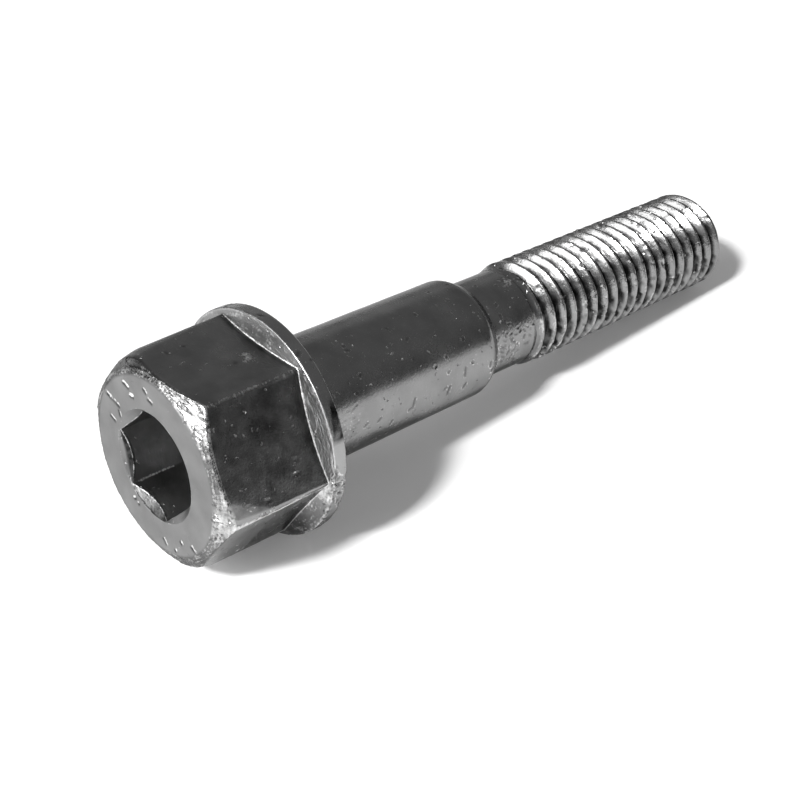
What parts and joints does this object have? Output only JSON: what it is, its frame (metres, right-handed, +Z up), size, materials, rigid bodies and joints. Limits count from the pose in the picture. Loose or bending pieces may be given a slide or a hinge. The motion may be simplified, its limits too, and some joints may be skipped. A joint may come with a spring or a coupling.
{
  "type": "flanged hexagon head socket screw with shoulder",
  "caption": "Flanged hexagon head screw with a blind hexagon socket in its end face, a plain shoulder, a slimmer neck and a coarse rolled thread.",
  "frame": {"origin": "on the flat surface that the screw lies on, under the middle of its bounding box", "axes": "+X from the head towards the tip along the surface, +Z up; the screw's own axis leans down towards the tip by 5.01 degrees"},
  "size_m": [0.068, 0.0194, 0.0194],
  "materials": {
    "steel": "worn bare steel, satin, with bright scuffs on the edges"
  },
  "bodies": {
    "root": {"screw": "steel"}
  },
  "joints": []
}
